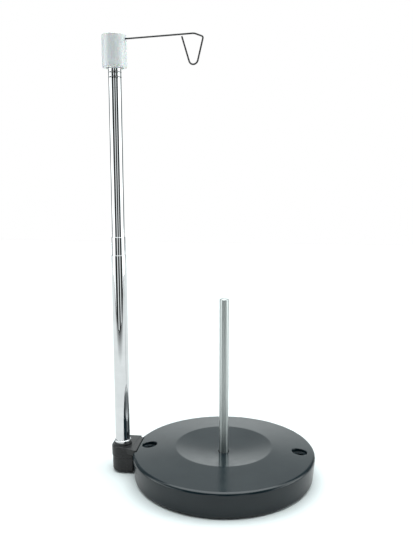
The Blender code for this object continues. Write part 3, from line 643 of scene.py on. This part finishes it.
class Finish:
    """One Principled material, and the noise patterns that vary it."""

    def __init__(self, name, colour, roughness, metallic=0.0, **sockets):
        self.material = bpy.data.materials.new(name)
        self.material.use_nodes = True
        self.tree = self.material.node_tree
        self.shader = self.tree.nodes["Principled BSDF"]
        self.shader.inputs["Base Color"].default_value = (*colour, 1.0)
        self.shader.inputs["Roughness"].default_value = roughness
        self.shader.inputs["Metallic"].default_value = metallic
        for socket, value in sockets.items():
            self.shader.inputs[socket.replace("_", " ")].default_value = value
        self.material.diffuse_color = (*colour, 1.0)
        self.last_normal = None

    def add(self, kind, **values):
        """A node of this kind, with its properties set."""
        node = self.tree.nodes.new(kind)
        for key, value in values.items():
            setattr(node, key, value)
        return node

    def noise(self, scale, detail=3.0, stretch=(1.0, 1.0, 1.0), centre=(0.0, 0.0, 0.0), rough=0.5):
        """Noise on Object coordinates; stretch makes it lines, centre moves its middle to an axis."""
        where = self.add("ShaderNodeTexCoord")
        mapping = self.add("ShaderNodeMapping", vector_type="TEXTURE")
        mapping.inputs["Location"].default_value = centre
        mapping.inputs["Scale"].default_value = stretch
        texture = self.add("ShaderNodeTexNoise")
        texture.inputs["Scale"].default_value = scale
        texture.inputs["Detail"].default_value = detail
        texture.inputs["Roughness"].default_value = rough
        self.tree.links.new(where.outputs["Object"], mapping.inputs["Vector"])
        self.tree.links.new(mapping.outputs["Vector"], texture.inputs["Vector"])
        return texture.outputs["Fac"]

    def colour_between(self, pattern, low, high, start=0.35, end=0.65):
        """Base colour follows a pattern from one colour to the other."""
        ramp = self.add("ShaderNodeValToRGB")
        for stop, place, colour in zip(ramp.color_ramp.elements, (start, end), (low, high)):
            stop.position, stop.color = place, (*colour, 1.0)
        self.tree.links.new(pattern, ramp.inputs["Fac"])
        self.tree.links.new(ramp.outputs["Color"], self.shader.inputs["Base Color"])
        return self

    def gloss_between(self, pattern, low, high, start=0.35, end=0.65):
        """Roughness follows a pattern from low to high."""
        spread = self.add("ShaderNodeMapRange")
        for socket, value in zip(("From Min", "From Max", "To Min", "To Max"), (start, end, low, high)):
            spread.inputs[socket].default_value = value
        self.tree.links.new(pattern, spread.inputs["Value"])
        self.tree.links.new(spread.outputs["Result"], self.shader.inputs["Roughness"])
        return self

    def relief(self, pattern, depth, strength=1.0):
        """A bump of this depth in metres; later reliefs lie on top of earlier ones."""
        bump = self.add("ShaderNodeBump")
        bump.inputs["Strength"].default_value = strength
        bump.inputs["Distance"].default_value = depth
        self.tree.links.new(pattern, bump.inputs["Height"])
        if self.last_normal is not None:
            self.tree.links.new(self.last_normal, bump.inputs["Normal"])
        self.last_normal = bump.outputs["Normal"]
        self.tree.links.new(self.last_normal, self.shader.inputs["Normal"])
        return self


# %% [markdown]
# The base's enamel is sprayed and stoved: deep black, glossy, with a faint orange peel. The bracket's
# paint is thinner and satin over the grain of the die casting. The pad is black foam rubber.

# %% Paints and rubber
enamel = Finish("black_stoved_enamel", (0.005, 0.013, 0.017), 0.16, IOR=1.5)
enamel.colour_between(enamel.noise(90.0), (0.004, 0.011, 0.015), (0.007, 0.015, 0.019))
enamel.gloss_between(enamel.noise(140.0, 4.0), 0.13, 0.21)
enamel.relief(enamel.noise(650.0, 1.0), 0.012 * MM).relief(enamel.noise(3200.0, 2.0), 0.0012 * MM)

satin = Finish("black_satin_paint", (0.008, 0.009, 0.010), 0.34, IOR=1.5)
satin.colour_between(satin.noise(700.0, 4.0), (0.005, 0.006, 0.007), (0.012, 0.013, 0.014))
satin.gloss_between(satin.noise(900.0, 4.0), 0.27, 0.40)
satin.relief(satin.noise(1900.0, 3.0), 0.05 * MM).relief(satin.noise(6500.0, 2.0), 0.010 * MM)

foam = Finish("black_foam_rubber", (0.022, 0.022, 0.023), 0.8)
foam.colour_between(foam.noise(1500.0, 4.0), (0.014, 0.014, 0.015), (0.032, 0.032, 0.033))
foam.gloss_between(foam.noise(900.0, 4.0), 0.7, 0.95)
foam.relief(foam.noise(2600.0, 4.0), 0.12 * MM)
print("paints and rubber:", [finish.material.name for finish in (enamel, satin, foam)])

# %% [markdown]
# Metals: the pin is centreless ground, which leaves fine rings round it. They scatter light up and down,
# which is told by stretching the gloss along the rod. The tubes are drawn and then chromed, so faint
# lines run along them. Small fixings are zinc plated, which is cloudy. The bushes and plugs are brass.
# The wire is dark hard-drawn spring steel.

# %% Metals
ground = Finish("ground_steel", (0.58, 0.615, 0.605), 0.31, 1.0, Anisotropic=0.88, Anisotropic_Rotation=0.25)
tangent = ground.add("ShaderNodeTangent", direction_type="UV_MAP", uv_map="UVMap")
ground.tree.links.new(tangent.outputs["Tangent"], ground.shader.inputs["Tangent"])
rings_round = dict(stretch=(20.0, 20.0, 0.35))
ground.colour_between(ground.noise(900.0, 4.0, **rings_round), (0.56, 0.60, 0.59), (0.59, 0.63, 0.62))
ground.gloss_between(ground.noise(500.0, 4.0, **rings_round), 0.29, 0.33)
ground.relief(ground.noise(900.0, 2.0, **rings_round), 0.00006 * MM)

lines_along = dict(stretch=(0.2, 0.2, 30.0), centre=(*MAST, 0.0))


def chromed(name):
    """Bright chrome, with faint draw lines along the tube in its gloss and its relief."""
    finish = Finish(name, (0.80, 0.81, 0.82), 0.05, 1.0)
    finish.gloss_between(finish.noise(500.0, 3.0, **lines_along), 0.02, 0.06)
    return finish.relief(finish.noise(700.0, 2.0, **lines_along), 0.0008 * MM)


chrome = chromed("bright_chrome")
chrome.colour_between(chrome.noise(160.0, 3.0, centre=(*MAST, 0.0)), (0.77, 0.78, 0.79), (0.83, 0.84, 0.85))
# Painted shade: the chrome's colour turns nearly black in the dimples, following the mask kept on the top
# tube.
chrome_dimples_painted_dark = chromed("bright_chrome_dimples_painted_dark")
dimple_painted_shade_mask = chrome_dimples_painted_dark.add("ShaderNodeAttribute", attribute_name="dimple_painted_shade_mask")
chrome_dimples_painted_dark.colour_between(dimple_painted_shade_mask.outputs["Fac"], (0.80, 0.81, 0.82), (0.01, 0.01, 0.01), 0.06, 0.40)

zinc = Finish("bright_zinc", (0.58, 0.59, 0.60), 0.3, 1.0)
zinc.colour_between(zinc.noise(900.0, 4.0), (0.50, 0.51, 0.53), (0.66, 0.67, 0.67))
zinc.gloss_between(zinc.noise(1300.0, 4.0), 0.22, 0.42)
zinc.relief(zinc.noise(2500.0, 3.0), 0.006 * MM)

brass = Finish("turned_brass", (0.72, 0.54, 0.26), 0.3, 1.0)
brass.colour_between(brass.noise(600.0, 4.0), (0.66, 0.48, 0.22), (0.76, 0.58, 0.30))
brass.gloss_between(brass.noise(1200.0, 3.0), 0.24, 0.38)
brass.relief(brass.noise(1800.0, 2.0, **rings_round), 0.004 * MM)

spring = Finish("blued_spring_wire", (0.08, 0.08, 0.08), 0.22, 1.0)
spring.colour_between(spring.noise(700.0, 3.0), (0.065, 0.065, 0.065), (0.10, 0.10, 0.10))
spring.gloss_between(spring.noise(1500.0, 3.0), 0.16, 0.30)
spring.relief(spring.noise(3500.0, 3.0), 0.003 * MM)
print("metals:", [finish.material.name for finish in (ground, chrome, chrome_dimples_painted_dark, zinc, brass, spring)])

# %% [markdown]
# The cap is injection moulded in white plastic. A little light enters it, so its shadows are soft, and
# its gloss is slightly uneven from the mould.

# %% Plastic
plastic = Finish("white_moulded_plastic", (0.90, 0.94, 0.95), 0.22, IOR=1.5, Subsurface_Weight=0.12,
                 Subsurface_Scale=0.002)
plastic.colour_between(plastic.noise(120.0, 3.0), (0.89, 0.935, 0.945), (0.91, 0.95, 0.96))
plastic.gloss_between(plastic.noise(300.0, 4.0), 0.18, 0.28)
plastic.relief(plastic.noise(900.0, 2.0), 0.006 * MM)
print("plastic:", plastic.material.name)

# %% [markdown]
# ## Put the pieces on the frame
# Each new piece takes its finish, stands for its CAD solid, and rides on the body that carries it. Its
# table also names a slot, which the loop doesn't use. The solids that stay, such as the bushes inside the
# tubes, only get a finish.

# %% Ride, replace and paint
NEW_PIECES = [
    (base, "base", "base_casting", enamel, "base_paint"),
    (pad, "base", "base_pad", foam, "pad"),
    (pin, "base", "spool_pin", ground, "pin_steel"),
    (bracket, "base", "mast_bracket", satin, "bracket_paint"),
    (screw, "base", "bracket_screw", zinc, "zinc"),
    (washer, "base", "bracket_washer", zinc, "zinc"),
    (collar, "base", "tube_collar", chrome, "chrome"),
    (outer, "base", "outer_tube", chrome, "chrome"),
    (middle, "middle_stage", "middle_tube", chrome, "chrome"),
    (top, "top_stage", "top_tube", chrome_dimples_painted_dark, "chrome"),
    (top_plug, "top_stage", "tube_top_plug", brass, "brass"),
    (cap, "thread_guide", "guide_cap", plastic, "cap_plastic"),
    (wire, "thread_guide", "guide_wire", spring, "guide_steel"),
]
for piece, body, node, finish, slot in NEW_PIECES:
    piece.data.materials.clear()
    piece.data.materials.append(finish.material)
    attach(piece, body)
    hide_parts(node)

KEPT_SOLIDS = {"pin_washer": zinc, "pin_nut": zinc, "foot_screw": zinc, "foot_washer": zinc,
               "foot_plug": brass, "middle_bush": brass, "top_bush": brass}
for node, finish in KEPT_SOLIDS.items():
    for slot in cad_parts[node].material_slots:
        slot.material = finish.material
print(len(NEW_PIECES), "new pieces,", len(KEPT_SOLIDS), "solids kept")

# %% [markdown]
# ## The studio
# Chrome shows only what stands round it, so the studio is part of the look. It is a light tent: white
# walls left and right, a paler back, a soft panel overhead, and a darker open front, where two uprights
# of the stand leave dark lines in the tubes. A dark canopy shades the front from above. All of that is
# one world, told by direction: the angle round the object, then the height above the horizon.

# %% Light tent


def ramp_node(tree, stops, name):
    """A colour ramp of greys: stops are (place, brightness)."""
    ramp = tree.nodes.new("ShaderNodeValToRGB")
    ramp.label = name
    elements = ramp.color_ramp.elements
    while len(elements) < len(stops):
        elements.new(0.5)
    for element, (place, grey) in zip(elements, stops):
        element.position, element.color = place, (grey, grey, grey, 1.0)
    return ramp


def math_node(tree, operation, first, second=None):
    """A maths node; each input is a number or another node's output."""
    node = tree.nodes.new("ShaderNodeMath")
    node.operation = operation
    for socket, value in zip(node.inputs, (first, second)):
        if isinstance(value, (int, float)):
            socket.default_value = value
        elif value is not None:
            tree.links.new(value, socket)
    return node.outputs["Value"]


def round_the_tent(degrees):
    """Place on the ramp of an angle round the object: 0 is the front, positive to the right."""
    return (degrees + 180.0) / 360.0


def up_the_tent(degrees):
    """Place on the ramp of an angle above the horizon."""
    return (math.sin(math.radians(degrees)) + 1.0) / 2.0


BRIGHTEST = 5.0
WALLS = [(-180, 1.15), (-150, 0.95), (-128, 0.22), (-103, 0.22), (-92, 1.8), (-84, 3.0), (-66, 2.4),
         (-52, 1.2), (-45, 1.0), (-42, 0.03), (-14, 0.03), (-12, 1.0), (-2, 1.0), (1, 0.02), (21, 0.02),
         (23, 0.95), (33, 0.95), (35, 0.02), (60, 0.03), (63, 1.0), (74, 1.8), (86, 3.0), (108, 2.4),
         (114, 1.2), (124, 0.18), (148, 0.2), (160, 0.8), (180, 1.15)]
HEIGHTS = [(-90, 1.0), (0, 1.0), (20, 1.0), (28, 0.8), (40, 0.9), (52, 1.3)]
FRONT = [(-95, 0.0), (-70, 1.0), (70, 1.0), (95, 0.0)]
CANOPY = [(14, 0.0), (22, 0.92), (50, 0.92), (54, 0.0)]
OVERHEAD_STARTS, OVERHEAD = 52.0, 3.6

world = bpy.data.worlds.new("light_tent")
bpy.context.scene.world = world
world.use_nodes = True
tree = world.node_tree
where = tree.nodes.new("ShaderNodeTexCoord")
axes = tree.nodes.new("ShaderNodeSeparateXYZ")
tree.links.new(where.outputs["Generated"], axes.inputs["Vector"])
angle = math_node(tree, "ARCTAN2", axes.outputs["X"], math_node(tree, "MULTIPLY", axes.outputs["Y"], -1.0))
around = math_node(tree, "ADD", math_node(tree, "DIVIDE", angle, 2 * math.pi), 0.5)
upward = math_node(tree, "ADD", math_node(tree, "MULTIPLY", axes.outputs["Z"], 0.5), 0.5)
walls = ramp_node(tree, [(round_the_tent(a), v / BRIGHTEST) for a, v in WALLS], "walls")
heights = ramp_node(tree, [(up_the_tent(a), v / BRIGHTEST) for a, v in HEIGHTS], "heights")
front = ramp_node(tree, [(round_the_tent(a), v) for a, v in FRONT], "front")
canopy = ramp_node(tree, [(up_the_tent(a), v) for a, v in CANOPY], "canopy")
PANEL = [(OVERHEAD_STARTS, 0.0), (OVERHEAD_STARTS + 6, 1.0)]
overhead = ramp_node(tree, [(up_the_tent(a), v) for a, v in PANEL], "panel")
for ramp, value in ((walls, around), (front, around), (heights, upward), (canopy, upward),
                    (overhead, upward)):
    tree.links.new(value, ramp.inputs["Fac"])
wall_light = math_node(tree, "MULTIPLY", walls.outputs["Color"], heights.outputs["Color"])
wall_light = math_node(tree, "MULTIPLY", wall_light, BRIGHTEST * BRIGHTEST)
canopy_shade = math_node(tree, "MULTIPLY", front.outputs["Color"], canopy.outputs["Color"])
shade = math_node(tree, "SUBTRACT", 1.0, canopy_shade)
wall_light = math_node(tree, "MULTIPLY", wall_light, shade)
panel_light = math_node(tree, "MULTIPLY", overhead.outputs["Color"], OVERHEAD)
tent_light = math_node(tree, "MAXIMUM", wall_light, panel_light)
rays = tree.nodes.new("ShaderNodeLightPath")
tent = tree.nodes["Background"]
tent.inputs["Color"].default_value = (0.95, 1.0, 1.0, 1.0)
tree.links.new(tent_light, tent.inputs["Strength"])
backdrop = tree.nodes.new("ShaderNodeBackground")
backdrop.inputs["Color"].default_value = (1.0, 1.0, 1.0, 1.0)
tent_or_backdrop = tree.nodes.new("ShaderNodeMixShader")
tree.links.new(rays.outputs["Is Camera Ray"], tent_or_backdrop.inputs["Fac"])
tree.links.new(tent.outputs["Background"], tent_or_backdrop.inputs[1])
tree.links.new(backdrop.outputs["Background"], tent_or_backdrop.inputs[2])
tree.links.new(tent_or_backdrop.outputs["Shader"], tree.nodes["World Output"].inputs["Surface"])
print("tent with", len(WALLS), "wall stops")

# %% [markdown]
# The floor is a sheet of white paper. It is lit until it is pure white, apart from the soft shade close
# to the base. The camera sees a brighter copy of the paper than reflections and bounce light do. That
# darker copy is painted darker still towards the paper's front end, out of the picture: painted shade
# that the tubes mirror.

# %% Floor
floor = box_between("paper_floor", (-1.3, -0.45, -0.002), (1.3, 1.3, 0.0))
paper = bpy.data.materials.new("white_paper")
paper.use_nodes = True
paper_tree = paper.node_tree
paper_tree.nodes.remove(paper_tree.nodes["Principled BSDF"])
# Two copies of the paper: the camera sees the brighter one, and reflections and bounce light see a darker
# one, which is painted shade.
seen, bounced = (paper_tree.nodes.new("ShaderNodeBsdfDiffuse") for _ in range(2))
seen.inputs["Color"].default_value = (0.76, 0.80, 0.805, 1.0)
paper_place = paper_tree.nodes.new("ShaderNodeTexCoord")
paper_axes = paper_tree.nodes.new("ShaderNodeSeparateXYZ")
paper_tree.links.new(paper_place.outputs["Object"], paper_axes.inputs["Vector"])
# Painted shade: the darker copy's colour falls from 0.57 to 0.02 towards the paper's front end.
front_end_painted_shade = paper_tree.nodes.new("ShaderNodeMapRange")
for socket, value in zip(("From Min", "From Max", "To Min", "To Max"), (-0.45, -0.24, 0.02, 0.57)):
    front_end_painted_shade.inputs[socket].default_value = value
paper_tree.links.new(paper_axes.outputs["Y"], front_end_painted_shade.inputs["Value"])
paper_tree.links.new(front_end_painted_shade.outputs["Result"], bounced.inputs["Color"])
seen_or_bounced = paper_tree.nodes.new("ShaderNodeMixShader")
paper_rays = paper_tree.nodes.new("ShaderNodeLightPath")
paper_tree.links.new(paper_rays.outputs["Is Camera Ray"], seen_or_bounced.inputs["Fac"])
paper_tree.links.new(bounced.outputs["BSDF"], seen_or_bounced.inputs[1])
paper_tree.links.new(seen.outputs["BSDF"], seen_or_bounced.inputs[2])
paper_tree.links.new(seen_or_bounced.outputs["Shader"], paper_tree.nodes["Material Output"].inputs["Surface"])
floor.data.materials.append(paper)
print("floor of", [round(v, 2) for v in floor.dimensions], "m")

# %% [markdown]
# ## The camera
# The camera stands a little to the right and above the base, about arm's length away, and looks slightly
# down. The colours are shown plainly, without a film curve.

# %% Camera and view
camera_data = bpy.data.cameras.new("camera")
camera = bpy.data.objects.new("camera", camera_data)
bpy.context.scene.collection.objects.link(camera)
AZIMUTH, PITCH, ROLL = math.radians(6.481), math.radians(9.444), math.radians(0.042)
PLACE = (37.84 * MM, -409.70 * MM, 202.32 * MM)
forward = Vector((-math.sin(AZIMUTH) * math.cos(PITCH), math.cos(AZIMUTH) * math.cos(PITCH),
                  -math.sin(PITCH)))
right = Vector((math.cos(AZIMUTH), math.sin(AZIMUTH), 0.0))
up = right.cross(forward)
turn = Matrix((right, up, -forward)).transposed().to_4x4()
camera.matrix_world = Matrix.Translation(PLACE) @ turn @ Matrix.Rotation(ROLL, 4, "Z")
camera_data.lens = 43.17
camera_data.shift_x, camera_data.shift_y = -0.0076, 0.0012
camera_data.clip_start, camera_data.clip_end = 0.01, 10.0
bpy.context.scene.camera = camera
bpy.context.scene.view_settings.view_transform = "Standard"
print("camera at", [round(v / MM) for v in camera.location], "mm")
